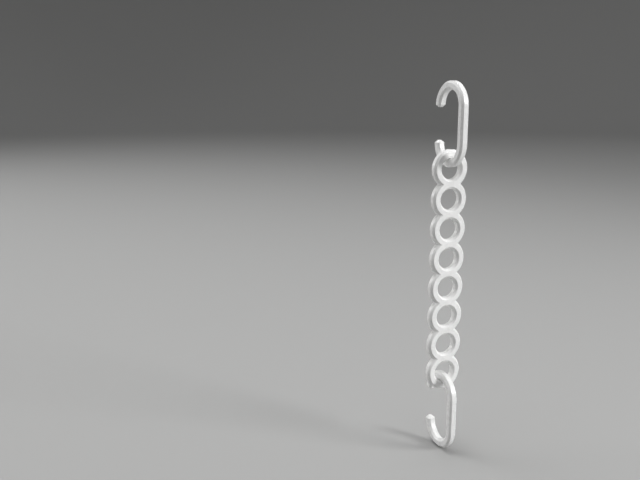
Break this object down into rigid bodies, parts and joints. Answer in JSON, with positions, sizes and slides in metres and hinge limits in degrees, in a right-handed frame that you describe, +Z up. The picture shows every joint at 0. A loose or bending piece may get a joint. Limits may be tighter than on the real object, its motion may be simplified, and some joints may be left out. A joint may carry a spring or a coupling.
{
  "type": "cascading hanger hook",
  "caption": "Moulded strip of fused rings that hangs from a wardrobe rod by an open hook, with a second hook at its far end, so that clothes hangers cascade down it.",
  "frame": {"origin": "on the axis of the rod seat in the top hook, in the middle of the bar", "axes": "+X along the rod, -Y to the front where the shanks are, +Z up with the strip hanging straight down"},
  "size_m": [0.038, 0.0478, 0.3783],
  "materials": {
    "hook_plastic": "satin moulded white",
    "strip_plastic": "satin moulded white"
  },
  "bodies": {
    "rod_hook": {"rod_hook": "hook_plastic"},
    "ring_strip": {"ring_strip": "strip_plastic"},
    "end_hook": {"end_hook": "hook_plastic"}
  },
  "joints": [
    {"name": "strip_swing", "type": "hinge", "parent": "rod_hook", "child": "ring_strip", "pos_m": [0, 0, -0.06026], "axis": [0, -1, 0], "range_deg": [-95, 95]},
    {"name": "end_hook_swing", "type": "hinge", "parent": "ring_strip", "child": "end_hook", "pos_m": [0, 0, -0.27026], "axis": [0, -1, 0], "range_deg": [-150, 150]}
  ]
}
